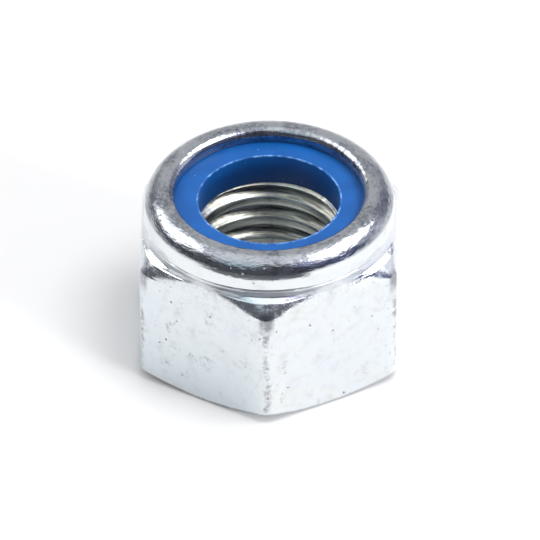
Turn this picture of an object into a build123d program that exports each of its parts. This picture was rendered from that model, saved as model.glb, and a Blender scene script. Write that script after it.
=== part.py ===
from build123d import *
import os
from math import cos, radians, tan

# A nylon insert lock nut for an M8 screw, in millimetres. The origin is the centre of the
# bearing face, +Z runs up the thread axis, and two of the six flats face +X and -X.

# Thread
thread_diameter = 8.0
thread_pitch = 1.25
thread_depth_ratio = 1.0825   # 60 degree thread: major less minor diameter, in pitches
minor_allowance = 0.153       # how far the drilled hole is over the basic minor diameter
entry_clearance = 0.5         # countersink in the bearing face, wider than the thread by this
entry_angle = 45.0
runout_diameter = 7.3         # countersink at the top of the thread, under the insert
runout_angle = 40.0

# Hexagon, as forged for a 13 mm spanner
across_flats = 12.85
corner_radius = 0.75          # rounding down each of the six corners
bearing_diameter = 12.4       # the flat ring that the nut seats on
base_angle = 24.0             # slope of the chamfer round the bearing face
base_edge = 0.12              # broken edge where the flats run into that chamfer
draft_start = 6.64            # height above which the flats lean in towards the collar
draft_angle = 8.0

# Shoulder, which is left standing in front of the collar at each corner of the hexagon
ledge_inner_diameter = 12.63
ledge_inner_height = 7.26     # where the ledge meets the foot of the collar
ledge_outer_diameter = 13.4
ledge_outer_height = 7.08
ledge_round = 0.2
slope_foot_diameter = 14.66
slope_foot_height = 6.04      # the corner is drawn in steeply from here up to the ledge
slope_round = 0.9
corner_full_height = 5.3      # below this the corner has its full size
roll_line_height = 7.62       # above this the collar is rolled a little smaller than its foot

# Nylon insert, a plain ring in a pocket above the thread
insert_diameter = 10.7
insert_grip = 0.9             # the ring's bore is smaller than the screw by this
insert_thickness = 1.65
insert_seat_height = 6.8      # floor of the pocket above the bearing face
insert_shoulder = 0.5         # upper outer edge of the ring, which the lip is folded over
bore_edge = 0.08              # broken edge at each end of the ring's bore

# Collar, rolled inward over the ring
collar_wall = 0.9
lip_overhang = 0.65           # how far the lip reaches in over the ring
lip_height = 0.7              # the rim's top above the ring
rim_radius = 1.05             # outer turn of the rim
lip_radius = 0.42             # inner turn of the rim

thread_radius = thread_diameter / 2
bore_radius = (thread_diameter - thread_depth_ratio * thread_pitch + minor_allowance) / 2
insert_radius = insert_diameter / 2
insert_top = insert_seat_height + insert_thickness
collar_radius = insert_radius + collar_wall
total_height = insert_top + lip_height


def turned(points, rounds, bevels):
    """Turn a half section about Z. Its points are (radius, height); rounds and bevels give some a size."""
    section = make_face(Polyline(*points, close=True))
    for ease, corners in ((fillet, rounds), (chamfer, bevels)):
        for point, size in corners.items():
            corner = section.vertices().sort_by_distance(point)[0]
            section = ease(corner, size)
    return revolve(Plane.XZ * section, Axis.Z)


def hexagon():
    """The six flats with their rounded corners, leaning in between the draft and the collar."""
    outline = RegularPolygon(across_flats / 2, 6, major_radius=False, rotation=30)
    outline = fillet(outline.vertices(), corner_radius)
    flats = extrude(outline, draft_start)
    leaning = extrude(Pos(Z=draft_start) * outline, ledge_inner_height - draft_start, taper=draft_angle)
    top = leaning.faces().sort_by(Axis.Z)[-1]
    return flats + leaning + extrude(top, total_height - ledge_inner_height)


def nut_body():
    """The steel nut: a turned blank with its collar rolled in, kept inside the hexagon."""
    blank_radius = across_flats / 2 / cos(radians(30)) + corner_radius
    entry_radius = thread_radius + entry_clearance / 2
    bearing_radius = bearing_diameter / 2
    opening_radius = insert_radius - lip_overhang
    runout_radius = runout_diameter / 2

    ledge_inner = (ledge_inner_diameter / 2, ledge_inner_height)
    ledge_outer = (ledge_outer_diameter / 2, ledge_outer_height)
    slope_foot = (slope_foot_diameter / 2, slope_foot_height)
    rim_outer = (collar_radius, total_height)
    rim_inner = (opening_radius, total_height)
    pocket_shoulder = (insert_radius, insert_top)
    blank = turned(
        [
            (bore_radius, (entry_radius - bore_radius) * tan(radians(entry_angle))),
            (entry_radius, 0),
            (bearing_radius, 0),
            (blank_radius, (blank_radius - bearing_radius) * tan(radians(base_angle))),
            (blank_radius, corner_full_height),
            slope_foot,
            ledge_outer,
            ledge_inner,
            (collar_radius, roll_line_height),
            rim_outer,
            rim_inner,
            (opening_radius, insert_top),
            pocket_shoulder,
            (insert_radius, insert_seat_height),
            (runout_radius, insert_seat_height),
            (bore_radius, insert_seat_height - (runout_radius - bore_radius) * tan(radians(runout_angle))),
        ],
        rounds={
            slope_foot: slope_round,
            ledge_outer: ledge_round,
            rim_outer: rim_radius,
            rim_inner: lip_radius,
        },
        bevels={pocket_shoulder: insert_shoulder},
    )
    body = blank & hexagon()
    flat_feet = [edge for edge in body.edges().filter_by(GeomType.HYPERBOLA) if edge.center().Z < draft_start / 2]
    return chamfer(flat_feet, base_edge)


def nylon_insert():
    """The ring, which fills the pocket from its floor to the underside of the lip."""
    insert_bore_radius = (thread_diameter - insert_grip) / 2
    bore_foot = (insert_bore_radius, insert_seat_height)
    bore_mouth = (insert_bore_radius, insert_top)
    shoulder = (insert_radius, insert_top)
    return turned(
        [bore_foot, (insert_radius, insert_seat_height), shoulder, bore_mouth],
        rounds={},
        bevels={shoulder: insert_shoulder, bore_foot: bore_edge, bore_mouth: bore_edge},
    )


os.makedirs("parts", exist_ok=True)
export_step(nut_body(), "parts/nut_body.step")
export_step(nylon_insert(), "parts/nylon_insert.step")
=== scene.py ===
import bpy
import numpy as np
from math import atan2, cos, hypot, pi, radians, sin, tan
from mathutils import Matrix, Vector


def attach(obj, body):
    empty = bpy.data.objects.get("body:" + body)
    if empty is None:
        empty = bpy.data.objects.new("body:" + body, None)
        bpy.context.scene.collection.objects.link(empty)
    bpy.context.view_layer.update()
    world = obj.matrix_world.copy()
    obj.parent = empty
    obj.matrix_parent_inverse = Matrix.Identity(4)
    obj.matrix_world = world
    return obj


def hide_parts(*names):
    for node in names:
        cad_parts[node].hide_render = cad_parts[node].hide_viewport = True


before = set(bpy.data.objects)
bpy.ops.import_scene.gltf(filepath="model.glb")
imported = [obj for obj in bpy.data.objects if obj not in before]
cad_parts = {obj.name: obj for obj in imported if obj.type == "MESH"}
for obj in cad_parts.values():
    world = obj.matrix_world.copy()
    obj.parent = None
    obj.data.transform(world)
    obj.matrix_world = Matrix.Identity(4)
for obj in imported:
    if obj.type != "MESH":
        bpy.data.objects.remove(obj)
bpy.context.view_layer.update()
print("stage: frame loaded")

# Pieces are shaped in millimetres and shrunk to metres when they are done
millimetre = 0.001
mergeDistance = 0.0005
smoothAngle = 35  # edges sharper than this stay crisp
wholeTurn = 2 * pi
sides = 6
sixth = wholeTurn / sides


# Small helpers for working in edit mode

def onlySelect(thing):
    bpy.ops.object.select_all(action="DESELECT")
    thing.select_set(True)
    bpy.context.view_layer.objects.active = thing


def editMode(thing, pick="VERT"):
    onlySelect(thing)
    bpy.ops.object.mode_set(mode="EDIT")
    bpy.ops.mesh.select_mode(type=pick)


def objectMode():
    bpy.ops.object.mode_set(mode="OBJECT")


def chooseAll(thing):
    editMode(thing)
    bpy.ops.mesh.select_all(action="SELECT")


def chooseVerts(thing, wanted):
    # leaves edit mode open with only the wanted vertices selected
    editMode(thing, "VERT")
    bpy.ops.mesh.select_all(action="DESELECT")
    objectMode()
    for vert in thing.data.vertices:
        vert.select = wanted(vert.co)
    bpy.ops.object.mode_set(mode="EDIT")


def chooseEdges(thing, wanted):
    # the same for edges, which are told by their two ends
    editMode(thing, "EDGE")
    bpy.ops.mesh.select_all(action="DESELECT")
    objectMode()
    verts = thing.data.vertices
    for edge in thing.data.edges:
        edge.select = wanted(verts[edge.vertices[0]].co, verts[edge.vertices[1]].co)
    bpy.ops.object.mode_set(mode="EDIT")


def drawProfile(name, outline, closed=True):
    # outline: {corner: (radius, height)}, a half section in the XZ plane, each corner pulled
    # out of the one before it
    points = list(outline.values())
    bpy.ops.object.select_all(action="DESELECT")
    bpy.ops.mesh.primitive_plane_add(size=1)
    thing = bpy.context.object
    thing.name = thing.data.name = name
    chooseAll(thing)
    bpy.ops.mesh.merge(type="CENTER")
    bpy.ops.transform.translate(value=(points[0][0], 0, points[0][1]))
    here = points[0]
    for there in points[1:] + (points[:1] if closed else []):
        step = (there[0] - here[0], 0, there[1] - here[1])
        bpy.ops.mesh.extrude_region_move(TRANSFORM_OT_translate={"value": step})
        here = there
    bpy.ops.mesh.select_all(action="SELECT")
    bpy.ops.mesh.remove_doubles(threshold=mergeDistance)
    objectMode()
    return thing


def roundCorners(thing, outline, rounds):
    # rounds: {corner: (radius, segments)}; a vertex bevel whose width gives that radius
    corners, points = list(outline), list(outline.values())
    for corner, (radius, segments) in rounds.items():
        index = corners.index(corner)
        x, z = points[index]
        before, after = points[index - 1], points[(index + 1) % len(points)]
        inward = atan2(z - before[1], x - before[0])
        outward = atan2(after[1] - z, after[0] - x)
        turn = abs((outward - inward + pi) % wholeTurn - pi)
        chooseVerts(thing, lambda co: hypot(co.x - x, co.z - z) < mergeDistance)
        bpy.ops.mesh.bevel(offset=radius * tan(turn / 2), segments=segments, profile=0.5,
                           affect="VERTICES")
        objectMode()


def addRings(thing, rings, wanted):
    # splits the wanted edges of a section, which makes rings when it is spun
    chooseEdges(thing, wanted)
    bpy.ops.mesh.subdivide(number_cuts=rings)
    objectMode()


def spinRound(thing, steps):
    chooseAll(thing)
    bpy.ops.mesh.spin(steps=steps, angle=wholeTurn, center=(0, 0, 0), axis=(0, 0, 1))
    bpy.ops.mesh.select_all(action="SELECT")
    bpy.ops.mesh.remove_doubles(threshold=mergeDistance)
    bpy.ops.mesh.normals_make_consistent(inside=False)
    objectMode()


def cutOut(thing, tool):
    onlySelect(thing)
    cut = thing.modifiers.new("cut", "BOOLEAN")
    cut.operation, cut.solver, cut.object = "DIFFERENCE", "EXACT", tool
    bpy.ops.object.modifier_apply(modifier=cut.name)
    bpy.data.objects.remove(tool)
    # the cut leaves slivers with no area where two slopes meet
    chooseAll(thing)
    bpy.ops.mesh.remove_doubles(threshold=mergeDistance)
    bpy.ops.mesh.dissolve_degenerate(threshold=mergeDistance)
    objectMode()


def finishPiece(thing, material, node):
    onlySelect(thing)
    thing.scale = (millimetre,) * 3
    bpy.ops.object.transform_apply(location=True, rotation=True, scale=True)
    bpy.ops.object.shade_smooth_by_angle(angle=radians(smoothAngle))
    thing.data.materials.clear()
    thing.data.materials.append(material)
    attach(thing, "root")
    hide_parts(node)


# Helpers for materials

def newMaterial(name):
    material = bpy.data.materials.new(name)
    material.use_nodes = True
    tree = material.node_tree
    return material, tree, tree.nodes["Principled BSDF"]


def addNode(tree, kind, settings=None, **inputs):
    # an input goes by its socket's name, or by its place as i0, i1 and so on
    node = tree.nodes.new(kind)
    for key, value in (settings or {}).items():
        setattr(node, key, value)
    for key, value in inputs.items():
        byPlace = key[0] == "i" and key[1:].isdigit()
        socket = node.inputs[int(key[1:])] if byPlace else node.inputs[key]
        if isinstance(value, bpy.types.NodeSocket):
            tree.links.new(value, socket)
        else:
            socket.default_value = value
    return node


def noiseOf(tree, where, scale, detail=2.0, rough=0.5, warp=0.0):
    return addNode(tree, "ShaderNodeTexNoise", Vector=where, Scale=scale, Detail=detail,
                   Roughness=rough, Distortion=warp).outputs["Fac"]


def ramp(tree, value, low, high, start=0.0, end=1.0):
    # eased from start at low to end at high; low may be the larger of the two
    return addNode(tree, "ShaderNodeMapRange", {"interpolation_type": "SMOOTHSTEP"}, i0=value,
                   i1=low, i2=high, i3=start, i4=end).outputs["Result"]


def mathOf(tree, kind, first, *others):
    # takes the others in one after the other, from left to right
    for other in others or (0.0,):
        first = addNode(tree, "ShaderNodeMath", {"operation": kind}, i0=first, i1=other).outputs[0]
    return first


def times(tree, *values):
    return mathOf(tree, "MULTIPLY", *values)


def vectorOf(tree, kind, **inputs):
    return addNode(tree, "ShaderNodeVectorMath", {"operation": kind}, **inputs).outputs


def blendColours(tree, amount, a, b):
    return addNode(tree, "ShaderNodeMix", {"data_type": "RGBA"}, i0=amount, i6=a, i7=b).outputs[2]


def placesOn(tree):
    # object coordinates read in millimetres, and what is worked out from them
    place = addNode(tree, "ShaderNodeTexCoord").outputs["Object"]
    here = addNode(tree, "ShaderNodeMapping", Vector=place,
                   Scale=(1 / millimetre,) * 3).outputs["Vector"]
    x, y, height = addNode(tree, "ShaderNodeSeparateXYZ", Vector=here).outputs
    flat = addNode(tree, "ShaderNodeCombineXYZ", X=x, Y=y).outputs[0]
    radius = vectorOf(tree, "LENGTH", i0=flat)["Value"]
    return dict(here=here, x=x, y=y, height=height, flat=flat, radius=radius)


def spots(tree, where, perMm, sizes, widest, edge, shift=0.0):
    # round spots in cells: each cell has a number of its own, and sizes is the range of it over
    # which a spot grows to its widest
    cells = addNode(tree, "ShaderNodeTexVoronoi", Vector=where, Scale=perMm)
    own = addNode(tree, "ShaderNodeSeparateColor", Color=cells.outputs["Color"]).outputs[0]
    reach = times(tree, ramp(tree, mathOf(tree, "ADD", own, shift), *sizes), widest)
    return ramp(tree, mathOf(tree, "SUBTRACT", reach, cells.outputs["Distance"]), 0.0, edge)


# In both looks, heights and radii are in millimetres. Two numbers are the range over which
# something comes in, and two more what it rises from and to. Noise is given as scale, detail,
# roughness and warp.
zincLook = dict(
    bright=(0.74, 0.77, 0.79, 1), dull=(0.66, 0.68, 0.70, 1),
    straw=(0.80, 0.76, 0.68, 1), sky=(0.66, 0.73, 0.80, 1),
    tintNoise=(0.45, 2, 0.5, 0.4), blotchNoise=(1.1, 4, 0.65, 0.3), patchNoise=(0.55, 2, 0.5, 0.5),
    fineNoise=(3.4, 6, 0.8),
    dullBlotches=(0.5, 0.8), strawTint=(0.55, 0.75, 0, 0.3), skyTint=(0.48, 0.25, 0, 0.5),
    # the rim is darker, painted shade that dims its reflections, and streaked, where the collar was
    # rolled over
    rolled=(8.36, 8.54), rimShadeDark=(0.14, 0.15, 0.19, 1), rimShadeLight=(0.42, 0.44, 0.47, 1),
    streakRadius=3.2, streakNoise=(7, 3, 0.6), streakLight=(0.25, 0.85),
    streakPatch=(0.35, 0.6, 0.05, 0.35),
    # the thread's flanks are painted shade, darker than its crests, and both are marked by the tap
    inBore=(4.35, 4.25), flankShadeDark=(0.13, 0.135, 0.12, 1), flankShadeLight=(0.48, 0.48, 0.42, 1),
    onCrest=(3.53, 3.48), crestDark=(0.42, 0.46, 0.44, 1), crestLight=(0.78, 0.82, 0.78, 1),
    tapStretch=0.5, tapFine=9, tapNoise=(1.0, 3, 0.6),
    flankMarks=(0.35, 0.65), crestMarks=(0.38, 0.62),
    # painted shade on the hexagon, darker on the left side and towards the bottom, and faint grey
    # smudges, heavier on the left
    belowShoulder=(7.3, 6.9), outsideBore=(6.0, 6.2),
    paintedShadeLeft=(0.57, 0.63, 0.66, 1), paintedShadeAcross=(0.6, -1.4), paintedShadeDown=(5.5, 0.5, 0.3, 0.9),
    smudge=(0.50, 0.50, 0.53, 1), smudgeNoise=(2.2, 7, 0.68, 0.15),
    smudgeRange=(0.46, 0.80, 0, 0.6), smudgePatch=(0.35, 0.6, 0.25, 1.0),
    smudgeAcross=(2.0, -2.0, 0.5, 1.3),
    # grey scuffs down the six upright corners, thickest under the slopes, where a grey band of
    # painted shade carries the dark of the slopes down the corners
    scuff=(0.23, 0.24, 0.27, 1), scuffMost=0.9, scuffFrom=0.545,
    scuffUnder=(5.5, 6.3, 0, 0.10), scuffPatch=(0.4, 0.65, 0, 0.12),
    scuffAcross=(0.572, 0, -0.30, 0.0), scuffRange=(-0.06, 0.16), scuffTop=(6.9, 6.6),
    bandUp=(5.3, 6.2), bandAcross=(0.48, 0.20), bandBroken=(0.34, 0.60, 0.5, 1.0),
    dirtAcross=(1.5, 0.2), dirtFine=(0.54, 0.72, 0.0, 0.6),
    clumpNoise=(0.95, 1, 0.4), clumpRange=(0.60, 0.72), clumpFine=(0.50, 0.66, 0.0, 0.8),
    # a dark line along the bottom edge of the flats, which climbs towards the corners: partly a
    # burr, partly painted shade where the nut meets the floor, heavier on the left
    burrRadius=6.2, burrRise=0.445, burrTop=(0.13, 0.05), burrFoot=(-0.06, 0.0),
    burrAcross=(1.5, -2.0, 0.35, 1.0), burrPatch=(0.4, 0.65, 0, 0.1), burrBroken=(0.42, 0.56),
    # bunched pits with ragged edges
    speck=(0.10, 0.09, 0.10, 1), pitMost=0.75, pitsPerMm=3.6, pitSizes=(0.80, 1.05),
    pitWidest=0.30, pitEdge=0.10, pitPatch=(0.3, 0.7, -0.12, 0.08), pitFine=(0.40, 0.58, 0.1, 1.0),
    raggedPerMm=9.0, raggedDetail=2.0, ragged=0.16,
    # roughness, with what is added in the bore, in the crease under the collar and on the slopes
    shine=(0.3, 0.7, 0.13, 0.22), boreShine=0.16,
    creaseShine=0.25, creaseTop=(7.62, 7.59), creaseFoot=(7.0, 7.25), creaseRadius=(6.46, 6.38),
    slopeShine=(0.40, 0.68, 0.0, 0.26), slopeTop=(7.30, 7.20), slopeFoot=(6.3, 6.55),
    # relief, in millimetres
    rippleNoise=(5.0, 2, 0.5), rippleHeight=(0, 1, 0.012, 0.026),
    waveNoise=(1.6, 2, 0.5), waveHeight=0.008, pitDepth=0.02,
)


def drawnOut(tree, at):
    # coordinates for two patterns: one is drawn out round the nut, as a turning tool leaves it,
    # and the other along the thread
    look, radius, height = zincLook, at["radius"], at["height"]
    outward = vectorOf(tree, "NORMALIZE", i0=at["flat"])[0]
    circle = vectorOf(tree, "SCALE", i0=outward, Scale=look["streakRadius"])[0]
    rise = addNode(tree, "ShaderNodeCombineXYZ",
                   Z=mathOf(tree, "SUBTRACT", radius, height)).outputs[0]
    turned = vectorOf(tree, "ADD", i0=circle, i1=rise)[0]
    smaller = vectorOf(tree, "SCALE", i0=circle, Scale=look["tapStretch"])[0]
    lift = addNode(tree, "ShaderNodeCombineXYZ", X=times(tree, radius, look["tapFine"]),
                   Z=times(tree, height, look["tapFine"])).outputs[0]
    return turned, vectorOf(tree, "ADD", i0=smaller, i1=lift)[0]


def scuffsAndShadeOn(tree, at, patch, fine, onHexagon):
    look, height = zincLook, at["height"]
    angle = mathOf(tree, "ABSOLUTE", mathOf(tree, "ARCTAN2", at["x"], at["y"]))
    fromCorner = times(tree, mathOf(tree, "PINGPONG", angle, sixth / 2), at["radius"])
    # broken specks down the corner, closing up near its top to a band of painted shade
    needed = mathOf(tree, "SUBTRACT", look["scuffFrom"], ramp(tree, height, *look["scuffUnder"]),
                    ramp(tree, patch, *look["scuffPatch"]))
    specks = mathOf(tree, "ADD", fine, ramp(tree, fromCorner, *look["scuffAcross"]))
    specks = ramp(tree, mathOf(tree, "SUBTRACT", specks, needed), *look["scuffRange"])
    cornerShadeBand = times(tree, ramp(tree, height, *look["bandUp"]),
                 ramp(tree, fromCorner, *look["bandAcross"]),
                 ramp(tree, fine, *look["bandBroken"]))
    # sparse dirt further out on the flats
    dirt = times(tree, ramp(tree, fromCorner, *look["dirtAcross"]),
                 ramp(tree, fine, *look["dirtFine"]))
    corners = times(tree, mathOf(tree, "MAXIMUM", specks, cornerShadeBand, dirt),
                    ramp(tree, height, *look["scuffTop"]))
    # the burr along the bottom edge, with painted shade, heavier on the left
    edge = times(tree, mathOf(tree, "SUBTRACT", at["radius"], look["burrRadius"]),
                 look["burrRise"])
    above = mathOf(tree, "SUBTRACT", height, edge)
    broken = mathOf(tree, "ADD", fine, ramp(tree, patch, *look["burrPatch"]))
    burrAndShade = times(tree, ramp(tree, above, *look["burrTop"]), ramp(tree, above, *look["burrFoot"]),
                 ramp(tree, at["x"], *look["burrAcross"]), ramp(tree, broken, *look["burrBroken"]))
    # small dirty places here and there on the flats
    clump = ramp(tree, noiseOf(tree, at["here"], *look["clumpNoise"]), *look["clumpRange"])
    clump = times(tree, clump, onHexagon, ramp(tree, fine, *look["clumpFine"]))
    return mathOf(tree, "MAXIMUM", corners, burrAndShade, clump)


def pitsOn(tree, at, patch, fine):
    look = zincLook
    jitter = addNode(tree, "ShaderNodeTexNoise", Vector=at["here"], Scale=look["raggedPerMm"],
                     Detail=look["raggedDetail"]).outputs["Color"]
    jitter = vectorOf(tree, "SCALE", i0=jitter, Scale=look["ragged"])[0]
    ragged = vectorOf(tree, "ADD", i0=at["here"], i1=jitter)[0]
    pit = spots(tree, ragged, look["pitsPerMm"], look["pitSizes"], look["pitWidest"],
                look["pitEdge"], ramp(tree, patch, *look["pitPatch"]))
    return times(tree, pit, ramp(tree, fine, *look["pitFine"]))


def makeZinc():
    material, tree, shader = newMaterial("zincPlate")
    look = zincLook
    at = placesOn(tree)
    here, height, radius = at["here"], at["height"], at["radius"]
    turned, tapped = drawnOut(tree, at)
    rolled = ramp(tree, height, *look["rolled"])
    inBore = ramp(tree, radius, *look["inBore"])
    onHexagon = times(tree, ramp(tree, height, *look["belowShoulder"]),
                      ramp(tree, radius, *look["outsideBore"]))
    tint = noiseOf(tree, here, *look["tintNoise"])
    blotch = noiseOf(tree, here, *look["blotchNoise"])
    patch = noiseOf(tree, here, *look["patchNoise"])
    fine = noiseOf(tree, here, *look["fineNoise"])
    streak = noiseOf(tree, turned, *look["streakNoise"])
    toolMark = noiseOf(tree, tapped, *look["tapNoise"])

    # bright plating with faint tints
    plating = blendColours(tree, ramp(tree, blotch, *look["dullBlotches"]), look["bright"],
                           look["dull"])
    plating = blendColours(tree, ramp(tree, tint, *look["strawTint"]), plating, look["straw"])
    plating = blendColours(tree, ramp(tree, tint, *look["skyTint"]), plating, look["sky"])
    # the rolled rim, darkened with painted shade and streaked
    lightness = mathOf(tree, "ADD", streak, ramp(tree, patch, *look["streakPatch"]))
    shadedRim = blendColours(tree, ramp(tree, lightness, *look["streakLight"]), look["rimShadeDark"],
                         look["rimShadeLight"])
    plating = blendColours(tree, rolled, plating, shadedRim)
    # the thread, with painted shade on its flanks
    flank = blendColours(tree, ramp(tree, toolMark, *look["flankMarks"]), look["flankShadeDark"],
                         look["flankShadeLight"])
    crest = blendColours(tree, ramp(tree, toolMark, *look["crestMarks"]), look["crestDark"],
                         look["crestLight"])
    cut = blendColours(tree, ramp(tree, radius, *look["onCrest"]), flank, crest)
    plating = blendColours(tree, inBore, plating, cut)
    # painted shade on the left of the hexagon and low down, and smudges
    paintedShadeLeft = times(tree, ramp(tree, at["x"], *look["paintedShadeAcross"]),
                 ramp(tree, height, *look["paintedShadeDown"]), onHexagon)
    plating = blendColours(tree, paintedShadeLeft, plating, look["paintedShadeLeft"])
    smudged = ramp(tree, noiseOf(tree, here, *look["smudgeNoise"]), *look["smudgeRange"])
    smudged = times(tree, smudged, onHexagon, ramp(tree, patch, *look["smudgePatch"]),
                    ramp(tree, at["x"], *look["smudgeAcross"]))
    plating = blendColours(tree, smudged, plating, look["smudge"])
    # scuffs, with painted shade under the slopes and along the bottom edge, and pits over
    # everything
    scuffedAndShaded = times(tree, scuffsAndShadeOn(tree, at, patch, fine, onHexagon), look["scuffMost"])
    plating = blendColours(tree, scuffedAndShaded, plating, look["scuff"])
    pit = pitsOn(tree, at, patch, fine)
    plating = blendColours(tree, times(tree, pit, look["pitMost"]), plating, look["speck"])
    tree.links.new(plating, shader.inputs["Base Color"])
    shader.inputs["Metallic"].default_value = 1.0

    crease = times(tree, ramp(tree, height, *look["creaseTop"]),
                   ramp(tree, radius, *look["creaseRadius"]),
                   ramp(tree, height, *look["creaseFoot"]))
    slope = times(tree, ramp(tree, height, *look["slopeTop"]),
                  ramp(tree, height, *look["slopeFoot"]), ramp(tree, fine, *look["slopeShine"]))
    roughness = mathOf(tree, "ADD", ramp(tree, blotch, *look["shine"]),
                       times(tree, inBore, look["boreShine"]),
                       times(tree, crease, look["creaseShine"]), slope)
    tree.links.new(roughness, shader.inputs["Roughness"])

    ripple = times(tree, noiseOf(tree, turned, *look["rippleNoise"]),
                   ramp(tree, rolled, *look["rippleHeight"]))
    wave = times(tree, noiseOf(tree, here, *look["waveNoise"]), look["waveHeight"])
    relief = mathOf(tree, "SUBTRACT", mathOf(tree, "ADD", ripple, wave),
                    times(tree, pit, look["pitDepth"]))
    bump = addNode(tree, "ShaderNodeBump", Height=relief, Strength=1.0, Distance=millimetre)
    tree.links.new(bump.outputs["Normal"], shader.inputs["Normal"])
    return material


nylonLook = dict(
    blue=(0.004, 0.082, 0.305, 1), deep=(0.003, 0.066, 0.255, 1),
    cloudNoise=(0.8, 3), cloudRange=(0.3, 0.7),
    # painted shade, darker down the bore, most of all at the back
    inside=(0.003, 0.045, 0.175, 1), boreShadeDown=(8.325, 7.545), boreShadeBack=(0.5, 3.3, 0.25, 1.0),
    # the burr the cutter left round the bore is paler, and broken
    scuff=(0.22, 0.46, 0.85, 1), burrAcross=(3.66, 3.62), burrUp=(8.375, 8.425),
    frayNoise=(3.0, 4, 0.7), frayRange=(0.44, 0.66, 0.05, 0.7),
    # a few grains stuck in it
    grainsPerMm=3.2, grainSizes=(0.86, 1.0), grainWidest=0.13, grainEdge=0.06, grainMost=0.7,
    shine=0.38, specular=0.25, subsurface=0.15, subsurfaceRadius=(0.1, 0.3, 1.0),
    subsurfaceScale=0.0006,
    reliefNoise=(9, 3), reliefStrength=0.4, reliefHeight=0.01,
)


def makeNylon():
    material, tree, shader = newMaterial("blueNylon")
    look = nylonLook
    at = placesOn(tree)
    here, height = at["here"], at["height"]
    cloud = ramp(tree, noiseOf(tree, here, *look["cloudNoise"]), *look["cloudRange"])
    colour = blendColours(tree, cloud, look["blue"], look["deep"])
    # painted shade down the bore, most of all at the back
    shade = times(tree, ramp(tree, height, *look["boreShadeDown"]),
                  ramp(tree, at["y"], *look["boreShadeBack"]))
    colour = blendColours(tree, shade, colour, look["inside"])
    frayed = ramp(tree, noiseOf(tree, here, *look["frayNoise"]), *look["frayRange"])
    onBurr = times(tree, ramp(tree, at["radius"], *look["burrAcross"]),
                   ramp(tree, height, *look["burrUp"]), frayed)
    colour = blendColours(tree, onBurr, colour, look["scuff"])
    grain = spots(tree, here, look["grainsPerMm"], look["grainSizes"], look["grainWidest"],
                  look["grainEdge"])
    colour = blendColours(tree, times(tree, grain, look["grainMost"]), colour, look["scuff"])
    tree.links.new(colour, shader.inputs["Base Color"])
    shader.inputs["Roughness"].default_value = look["shine"]
    shader.inputs["Specular IOR Level"].default_value = look["specular"]
    shader.inputs["Subsurface Weight"].default_value = look["subsurface"]
    shader.inputs["Subsurface Radius"].default_value = look["subsurfaceRadius"]
    shader.inputs["Subsurface Scale"].default_value = look["subsurfaceScale"]
    bump = addNode(tree, "ShaderNodeBump", Height=noiseOf(tree, here, *look["reliefNoise"]),
                   Strength=look["reliefStrength"], Distance=look["reliefHeight"] * millimetre)
    tree.links.new(bump.outputs["Normal"], shader.inputs["Normal"])
    return material


# The steel body: a turned blank, pressed to a hexagon, with a tapped hole
steel = dict(
    # the turned section; a pair is a radius and a height
    height=9.15, blankRadius=7.5, blankBore=3.1, mouthRadius=4.25,
    bearingRadius=6.2, baseAngle=24, cornerEnd=5.3,
    slopeFoot=(7.33, 6.50), ledgeOuter=(6.73, 7.12), ledgeInner=(6.44, 7.28), wallFoot=(6.31, 7.47),
    collarRadius=6.26, lipRadius=4.7, lipUnder=8.45,
    pocketRadius=5.35, pocketShoulder=0.5, pocketFloor=6.8, tapTop=3.65, tapTopAngle=40,
    # the small step where the rolling of the collar ended, with its heights from that line
    rollLine=7.62, rollStep=0.035, stepFoot=-0.07, stepTop=-0.01, wallStart=0.05,
    # radius and segments of the section's rounded corners
    rounds=dict(
        mouth=(0.12, 3), bearing=(0.12, 3), base=(0.5, 10), cornerEnd=(1.5, 4),
        slopeFoot=(0.3, 10), ledgeOuter=(0.12, 8), ledgeInner=(0.10, 6), wallFoot=(0.1, 3),
        rim=(1.05, 24), lip=(0.42, 12), lipUnder=(0.06, 3)),
    # rings on the chamfer, the flats and the shoulder, and where their edges are found
    chamferRings=20, chamferFrom=6.1, chamferTop=0.7, chamferRise=0.2,
    flatRings=20, flatFrom=7.1, flatRise=0.4,
    shoulderRings=5, shoulderFrom=6.2, shoulderLeast=0.05,
    steps=360,
    # the hexagon, and how soft its edges are where the flats meet the turned surface
    acrossFlats=12.85, cornerSoft=0.36,
    shoulderSoft=0.24, softerLeft=0.12, flatSoft=0.06, flatShare=3, baseSoft=0.07,
    leastSteep=0.2, crispUnder=0.05, crispFade=0.06, crispLeast=0.05,
    # the flats lean in to the collar, gently at their middle
    hugRadius=6.29, leanStart=6.6, leanTop=7.55, leanSoft=0.2,
    # and more towards the corners, above an arched line
    draftStart=7.05, draftTop=7.4, draftDrop=0.55, draftArch=1.65, draftTilt=-0.02,
    draftTwist=1, draftSoft=0.08, draftMost=0.28,
    # only points this far outside the bearing and under the roll line are pressed
    pressOutside=0.02, pressUnder=0.03, halvings=30,
    # the thread, whose rounded roots and crests are radius and segments again
    threadMajor=4.0, threadMinor=3.456, pitch=1.25, flankAngle=30, rootFlat=0.156,
    rootRound=(0.10, 2), crestRound=(0.20, 5),
    centreAtBack=6.28,  # height of a groove's centre at +Y
    turnsBelow=7, turns=9, turnSteps=120, tapLow=-0.6, tapHigh=7.3,
)


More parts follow.
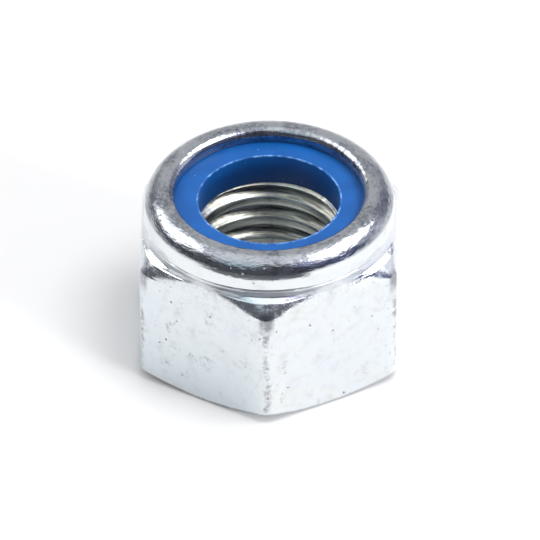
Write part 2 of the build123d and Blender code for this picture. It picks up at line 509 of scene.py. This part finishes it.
def turnedBlank():
    size = steel
    outer, line, under = size["blankRadius"], size["rollLine"], size["lipUnder"]
    baseHeight = (outer - size["bearingRadius"]) * tan(radians(size["baseAngle"]))
    tapFall = (size["tapTop"] - size["blankBore"]) * tan(radians(size["tapTopAngle"]))
    outline = dict(
        boreFoot=(size["blankBore"], size["mouthRadius"] - size["blankBore"]),
        mouth=(size["mouthRadius"], 0),
        bearing=(size["bearingRadius"], 0),
        base=(outer, baseHeight),
        cornerEnd=(outer, size["cornerEnd"]),
        slopeFoot=size["slopeFoot"],
        ledgeOuter=size["ledgeOuter"],
        ledgeInner=size["ledgeInner"],
        wallFoot=size["wallFoot"],
        stepFoot=(size["collarRadius"] + size["rollStep"], line + size["stepFoot"]),
        stepTop=(size["collarRadius"], line + size["stepTop"]),
        wallStart=(size["collarRadius"], line + size["wallStart"]),
        rim=(size["collarRadius"], size["height"]),
        lip=(size["lipRadius"], size["height"]),
        lipUnder=(size["lipRadius"], under),
        pocketTop=(size["pocketRadius"] - size["pocketShoulder"], under),
        pocketSide=(size["pocketRadius"], under - size["pocketShoulder"]),
        pocketFloor=(size["pocketRadius"], size["pocketFloor"]),
        tapTop=(size["tapTop"], size["pocketFloor"]),
        tapFoot=(size["blankBore"], size["pocketFloor"] - tapFall),
    )
    blank = drawProfile("nutBodySteel", outline)
    roundCorners(blank, outline, size["rounds"])
    addRings(blank, size["chamferRings"], lambda p, q: min(p.x, q.x) > size["chamferFrom"]
             and max(p.z, q.z) < size["chamferTop"] and abs(p.z - q.z) > size["chamferRise"])
    addRings(blank, size["flatRings"], lambda p, q: min(p.x, q.x) > size["flatFrom"]
             and abs(p.z - q.z) > size["flatRise"])
    addRings(blank, size["shoulderRings"], lambda p, q: min(p.x, q.x) > size["shoulderFrom"]
             and min(p.z, q.z) > size["cornerEnd"] and max(p.z, q.z) < line + size["stepTop"]
             and hypot(p.x - q.x, p.z - q.z) > size["shoulderLeast"])
    spinRound(blank, size["steps"])
    return blank


def cornerShare(angle):
    # 0 at the middle of a flat, 1 at a corner
    return 0.5 - 0.5 * np.cos(sides * angle)


def softStep(way, soft):
    # rises from 0 to 1 with a softened start
    return np.minimum(0.5 * (way + np.hypot(way, soft)), 1)


def hexDepth(radius, angle, half):
    # how far points are inside the hexagon, with its corners taken off softly
    soft = steel["cornerSoft"]
    depths = [half - radius * np.cos(angle - side * sixth) for side in range(sides)]
    spare = sum(np.maximum(soft - depth, 0) ** 2 for depth in depths)
    return soft - np.sqrt(spare) + np.maximum(np.min(depths, axis=0) - soft, 0)


def edgeSoftness(angle, height, steep):
    size = steel
    soft = size["shoulderSoft"] - size["softerLeft"] * np.cos(angle)
    soft = soft + (size["flatSoft"] - soft) * (1 - cornerShare(angle)) ** size["flatShare"]
    # above the ledge the edge is crisp where the blank's side stands upright
    crisp = np.clip((1 - steep) / size["crispFade"], size["crispLeast"], 1)
    soft = np.where(height > size["ledgeInner"][1] - size["crispUnder"], soft * crisp, soft)
    # the lowest third has the softness of the base
    return np.where(height > size["height"] / 3, soft, size["baseSoft"])


def halfWidth(x, angle, height):
    # half the width across the flats, which is less where they lean in
    size = steel
    half = size["acrossFlats"] / 2
    fromMiddle = (angle + sixth / 2) % sixth - sixth / 2
    gentle = half - size["hugRadius"]
    more = half - size["hugRadius"] * np.cos(fromMiddle)
    more = np.minimum(more, size["draftMost"]) - gentle
    twisted = angle - radians(size["draftTwist"]) * np.sin(angle)
    start = size["draftStart"] + size["draftTilt"] * x
    start = start - size["draftDrop"] * cornerShare(twisted) ** size["draftArch"]
    way = softStep((height - start) / (size["draftTop"] - start), size["draftSoft"])
    gentleWay = (height - size["leanStart"]) / (size["leanTop"] - size["leanStart"])
    return half - gentle * softStep(gentleWay, size["leanSoft"]) - more * way


def pressToHexagon(nut):
    # the blank's points move straight in until they are inside the six flats too, with a soft
    # edge where a flat runs in to the turned surface
    size, count = steel, len(nut.data.vertices)
    place, normal = np.empty(count * 3), np.empty(count * 3)
    nut.data.vertices.foreach_get("co", place)
    nut.data.vertices.foreach_get("normal", normal)
    place, normal = place.reshape(-1, 3), normal.reshape(-1, 3)
    outer, angle = np.hypot(place[:, 0], place[:, 1]), np.arctan2(place[:, 1], place[:, 0])
    height = place[:, 2]
    steep = (normal[:, :2] * place[:, :2]).sum(1) / outer  # 1 where the side stands upright
    steep = np.maximum(steep, size["leastSteep"])
    soft = edgeSoftness(angle, height, steep)
    half = halfWidth(place[:, 0], angle, height)
    low, high = np.full(count, size["lipRadius"]), outer.copy()
    for _ in range(size["halvings"]):
        middle = (low + high) / 2
        flat = np.maximum(soft - hexDepth(middle, angle, half), 0)
        turned = np.maximum(soft - (outer - middle) * steep, 0)
        tooFar = np.hypot(flat, turned) > soft
        high, low = np.where(tooFar, middle, high), np.where(tooFar, low, middle)
    pressed = outer > size["bearingRadius"] + size["pressOutside"]
    pressed &= height < size["rollLine"] - size["pressUnder"]
    place[:, :2] *= np.where(pressed, low / outer, 1)[:, None]
    nut.data.vertices.foreach_set("co", place.ravel())
    nut.data.update()


def tapSolid():
    size = steel
    major, minor, pitch = size["threadMajor"], size["threadMinor"], size["pitch"]
    flank = (major - minor) * tan(radians(size["flankAngle"]))
    half = size["rootFlat"] / 2
    start = size["centreAtBack"] - pitch / 2 - size["turnsBelow"] * pitch
    middle = start + pitch / 2
    outline = dict(
        start=(minor, start),
        lowCrest=(minor, middle - half - flank),
        lowRoot=(major, middle - half),
        highRoot=(major, middle + half),
        highCrest=(minor, middle + half + flank),
        end=(minor, start + pitch),
    )
    tap = drawProfile("tap", outline, closed=False)
    roundCorners(tap, outline, dict(lowCrest=size["crestRound"], lowRoot=size["rootRound"],
                                    highRoot=size["rootRound"], highCrest=size["crestRound"]))
    # the section is drawn at +X and has to start at +Y
    onlySelect(tap)
    tap.rotation_euler = (0, 0, pi / 2)
    bpy.ops.object.transform_apply(location=True, rotation=True, scale=True)
    screw = tap.modifiers.new("screw", "SCREW")
    screw.axis, screw.angle, screw.screw_offset = "Z", wholeTurn, pitch
    screw.steps = screw.render_steps = size["turnSteps"]
    screw.iterations = size["turns"]
    screw.use_merge_vertices, screw.merge_threshold = True, mergeDistance
    bpy.ops.object.modifier_apply(modifier=screw.name)
    chooseAll(tap)
    bpy.ops.mesh.remove_doubles(threshold=mergeDistance)
    for height, way in ((size["tapLow"], -1), (size["tapHigh"], 1)):
        bpy.ops.mesh.select_all(action="SELECT")
        bpy.ops.mesh.bisect(plane_co=(0, 0, height), plane_no=(0, 0, way), use_fill=True,
                            clear_outer=True)
    bpy.ops.mesh.select_all(action="SELECT")
    bpy.ops.mesh.normals_make_consistent(inside=False)
    objectMode()
    return tap


def makeBody(material):
    nut = turnedBlank()
    pressToHexagon(nut)
    print("stage: hexagon pressed", len(nut.data.polygons))
    cutOut(nut, tapSolid())
    print("stage: hole tapped", len(nut.data.polygons))
    finishPiece(nut, material, "nut_body")
    return nut


# The nylon ring, with a little burr standing up round its bore
ring = dict(
    boreRadius=3.55, outerRadius=5.34, floor=6.8, top=8.445, shoulder=0.5,
    burrWidth=0.09, burrTopWidth=0.054, burrRise=0.028,
    rounds=dict(boreFoot=(0.05, 2), burrOuter=(0.02, 2), burrInner=(0.03, 3)),
    steps=360,
)


def makeRing(material):
    size = ring
    bore, outer, top = size["boreRadius"], size["outerRadius"], size["top"]
    outline = dict(
        boreFoot=(bore, size["floor"]),
        outerFoot=(outer, size["floor"]),
        shoulderFoot=(outer, top - size["shoulder"]),
        shoulderTop=(outer - size["shoulder"], top),
        burrFoot=(bore + size["burrWidth"], top),
        burrOuter=(bore + size["burrTopWidth"], top + size["burrRise"]),
        burrInner=(bore, top + size["burrRise"]),
    )
    piece = drawProfile("nylonRing", outline)
    roundCorners(piece, outline, size["rounds"])
    spinRound(piece, size["steps"])
    finishPiece(piece, material, "nylon_insert")
    return piece


zinc, nylon = makeZinc(), makeNylon()
nutBody = makeBody(zinc)
nylonRing = makeRing(nylon)
print("stage: pieces made")


# Floor, lights and camera, in metres
studio = dict(
    floorSize=1.2, floorColour=(0.90, 0.90, 0.90, 1), floorRough=0.9, floorSpecular=0.1,
    floorGlow=0.08, room=(0.6, 0.6, 0.62, 1), fill=(0.80, 0.80, 0.81, 1),
    # a dark sheet on the floor in front, out of the frame, is painted shade standing in for the far
    # floor in shade
    shadeSheetSize=0.6, shadeSheetCorners=[(-0.6, -0.6), (0.36, -0.6), (-0.04, -0.025), (0.015, -0.025)],
    shadeSheetHeight=0.0002, shadeSheetColour=(0.12, 0.125, 0.14, 1),
    lightAim=(0, 0, 0.005),
)


def directionTo(azimuth, elevation):
    # azimuth 0 is the camera's side, 90 is +X
    a, e = radians(azimuth), radians(elevation)
    return Vector((sin(a) * cos(e), -cos(a) * cos(e), sin(e)))


def addPlane(name, size):
    bpy.ops.object.select_all(action="DESELECT")
    bpy.ops.mesh.primitive_plane_add(size=size)
    plane = bpy.context.object
    plane.name = name
    return plane


def makeFloor():
    floor = addPlane("floor", studio["floorSize"])
    material, tree, shader = newMaterial("paperFloor")
    shader.inputs["Base Color"].default_value = studio["floorColour"]
    shader.inputs["Roughness"].default_value = studio["floorRough"]
    shader.inputs["Specular IOR Level"].default_value = studio["floorSpecular"]
    shader.inputs["Emission Color"].default_value = (1, 1, 1, 1)
    # the metal sees the paper a little brighter than the camera does
    mirrored = addNode(tree, "ShaderNodeLightPath").outputs["Is Glossy Ray"]
    tree.links.new(times(tree, mirrored, studio["floorGlow"]), shader.inputs["Emission Strength"])
    floor.data.materials.append(material)
    return floor


def makeFarFloorShade():
    # painted shade of the far floor, which only mirrors in the metal
    shadeSheet = addPlane("farFloorShade", studio["shadeSheetSize"])
    for corner, (x, y) in zip(shadeSheet.data.vertices, studio["shadeSheetCorners"]):
        corner.co = (x, y, studio["shadeSheetHeight"])
    material, tree, shader = newMaterial("farFloorShade")
    shader.inputs["Base Color"].default_value = (0, 0, 0, 1)
    shader.inputs["Emission Color"].default_value = studio["shadeSheetColour"]
    shader.inputs["Emission Strength"].default_value = 1.0
    shadeSheet.data.materials.append(material)
    shadeSheet.visible_camera = shadeSheet.visible_diffuse = shadeSheet.visible_shadow = False


# Soft cards hung round the nut: azimuth, elevation, radius and softness in degrees, then a colour
cards = dict(
    backGlow=(180, 8, 50, 25, (0.80, 0.81, 0.82)),
    backLeftFlag=(-142, 15, 12, 10, (0.35, 0.35, 0.38)),
    backRightFlag=(138, 20, 18, 10, (0.35, 0.35, 0.45)),
    rightFill=(98, 10, 20, 10, (0.95, 0.96, 1.1)),
    overhead=(0, 85, 32, 10, (1.25, 1.28, 1.30)),
    leftFlag=(-106, 17, 16, 5, (0.18, 0.18, 0.20)),
    frontLeftFlag=(-58, 10, 34, 6, (0.13, 0.13, 0.15)),
    frontRightFlag=(58, 8, 34, 8, (0.11, 0.13, 0.27)),
    frontFlag=(0, 19, 46, 5, (0.13, 0.135, 0.155)),
    tealGlow=(-34, 54, 10, 9, (0.85, 1.05, 1.15)),
    blueGlow=(44, 45, 8, 10, (0.6, 0.6, 0.95)),
)


def makeWorld():
    world = bpy.data.worlds.new("studioRoom")
    world.use_nodes = True
    bpy.context.scene.world = world
    tree = world.node_tree
    mirrored = tree.nodes["Background"]
    direction = addNode(tree, "ShaderNodeTexCoord").outputs["Generated"]
    room = studio["room"]
    for azimuth, elevation, radius, soft, colour in cards.values():
        along = vectorOf(tree, "DOT_PRODUCT", i0=direction,
                         i1=directionTo(azimuth, elevation))["Value"]
        onCard = ramp(tree, along, cos(radians(radius + soft)), cos(radians(radius - soft)))
        room = blendColours(tree, onCard, room, (*colour, 1))
    tree.links.new(room, mirrored.inputs["Color"])
    mirrored.inputs["Strength"].default_value = 1.0
    # the cards mirror in the metal; the camera sees white and the floor gets a plain fill
    white = addNode(tree, "ShaderNodeBackground", Color=(1, 1, 1, 1), Strength=1.0)
    fill = addNode(tree, "ShaderNodeBackground", Color=studio["fill"], Strength=1.0)
    path = addNode(tree, "ShaderNodeLightPath").outputs
    seen = addNode(tree, "ShaderNodeMixShader", i0=path["Is Diffuse Ray"],
                   i1=mirrored.outputs[0], i2=fill.outputs[0])
    seen = addNode(tree, "ShaderNodeMixShader", i0=path["Is Camera Ray"],
                   i1=seen.outputs[0], i2=white.outputs[0])
    tree.links.new(seen.outputs[0], tree.nodes["World Output"].inputs["Surface"])


# Azimuth, elevation, distance, width and length, watts, and what it shines on: two softboxes for
# the nut, and two lights that give it a short soft shadow
lights = dict(
    softboxLeft=(-115, 42, 0.30, 0.22, 0.20, 0.40, "nutOnly"),
    softboxRight=(95, 54, 0.30, 0.23, 0.145, 1.05, "nutOnly"),
    floorKey=(70, 68, 0.35, 0.14, 0.14, 0.44, "floorOnly"),
    floorLow=(55, 13, 0.35, 0.14, 0.06, 0.85, "floorOnly"),
)


def makeLights(lit):
    # lit: {name: the things that a group of lights shines on}
    groups = {name: bpy.data.collections.new(name) for name in lit}
    for name, things in lit.items():
        for thing in things:
            groups[name].objects.link(thing)
    for name, (azimuth, elevation, distance, width, length, power, group) in lights.items():
        back = directionTo(azimuth, elevation)
        data = bpy.data.lights.new(name, "AREA")
        data.shape, data.size, data.size_y = "RECTANGLE", width, length
        data.energy = power
        light = bpy.data.objects.new(name, data)
        light.location = Vector(studio["lightAim"]) + back * distance
        light.rotation_euler = (-back).to_track_quat("-Z", "Y").to_euler()
        bpy.context.collection.objects.link(light)
        light.light_linking.receiver_collection = groups[group]


# Target and distance in millimetres, centre and frame in pixels
lens = dict(
    target=(0, 0, 4.333), distance=812.5, azimuth=1.48, elevation=38.15, roll=-0.47,
    pixelsPerMm=20.0, centre=(269.75, 264.67), frame=540,
    sensorWidth=36, nearest=0.01, furthest=50,
)


def makeCamera():
    scale, distance, across = lens["pixelsPerMm"], lens["distance"], lens["frame"]
    back = directionTo(lens["azimuth"], lens["elevation"])
    right = directionTo(lens["azimuth"] + 90, 0)
    up = back.cross(right)
    # aim off the target so that it falls where it should in the frame
    shiftX, shiftY = ((across / 2 - pixel) / scale for pixel in lens["centre"])
    aim = Vector(lens["target"]) + right * shiftX - up * shiftY
    data = bpy.data.cameras.new("camera")
    data.sensor_width = lens["sensorWidth"]
    data.lens = scale * distance / across * lens["sensorWidth"]
    data.clip_start, data.clip_end = lens["nearest"], lens["furthest"]
    camera = bpy.data.objects.new("camera", data)
    camera.location = (aim + back * distance) * millimetre
    camera.rotation_euler = (-back).to_track_quat("-Z", "Y").to_euler()
    camera.rotation_euler.rotate_axis("Z", radians(lens["roll"]))
    bpy.context.collection.objects.link(camera)
    bpy.context.scene.camera = camera


paper = makeFloor()
makeFarFloorShade()
makeWorld()
makeLights(dict(nutOnly=[nutBody, nylonRing], floorOnly=[paper]))
makeCamera()
view = bpy.context.scene.view_settings
view.view_transform, view.look, view.exposure = "Standard", "None", 0.0
print("stage: studio ready")
